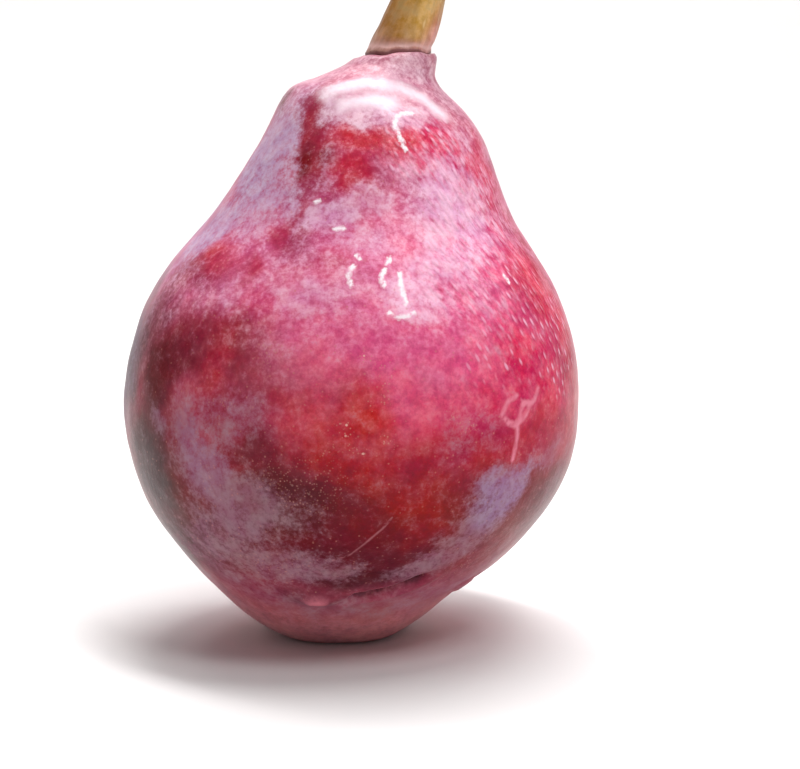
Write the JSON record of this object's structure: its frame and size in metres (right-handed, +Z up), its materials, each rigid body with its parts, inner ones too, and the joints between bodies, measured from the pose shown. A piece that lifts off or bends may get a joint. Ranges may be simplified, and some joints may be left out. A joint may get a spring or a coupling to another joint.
{
  "type": "pear",
  "caption": "Whole ripe pear with a leaning woody stem, resting on its calyx end, with dry flower remains in the basin underneath.",
  "frame": {"origin": "middle of the object's box in X and Y, at the height of the flat spot that it rests on", "axes": "+Z up the core towards the stem, +X the side that the neck and stem lean to, +Y away from the side with the pale scar"},
  "size_m": [0.073, 0.0722, 0.1193],
  "materials": {
    "red_skin": "waxy, moist red pear skin with a pale bloom",
    "woody_stem": "dull olive-brown bark",
    "dry_calyx": "dry, papery brown flower remains"
  },
  "bodies": {
    "root": {"fruit": "red_skin", "stem": "woody_stem", "sepal_1": "dry_calyx", "sepal_2": "dry_calyx", "sepal_3": "dry_calyx", "sepal_4": "dry_calyx", "sepal_5": "dry_calyx", "stamen_1": "dry_calyx", "stamen_2": "dry_calyx", "stamen_3": "dry_calyx", "stamen_4": "dry_calyx", "stamen_5": "dry_calyx", "stamen_6": "dry_calyx", "stamen_7": "dry_calyx", "stamen_8": "dry_calyx", "stamen_9": "dry_calyx", "stamen_10": "dry_calyx", "style_1": "dry_calyx", "style_2": "dry_calyx", "style_3": "dry_calyx", "style_4": "dry_calyx", "style_5": "dry_calyx"}
  },
  "joints": []
}
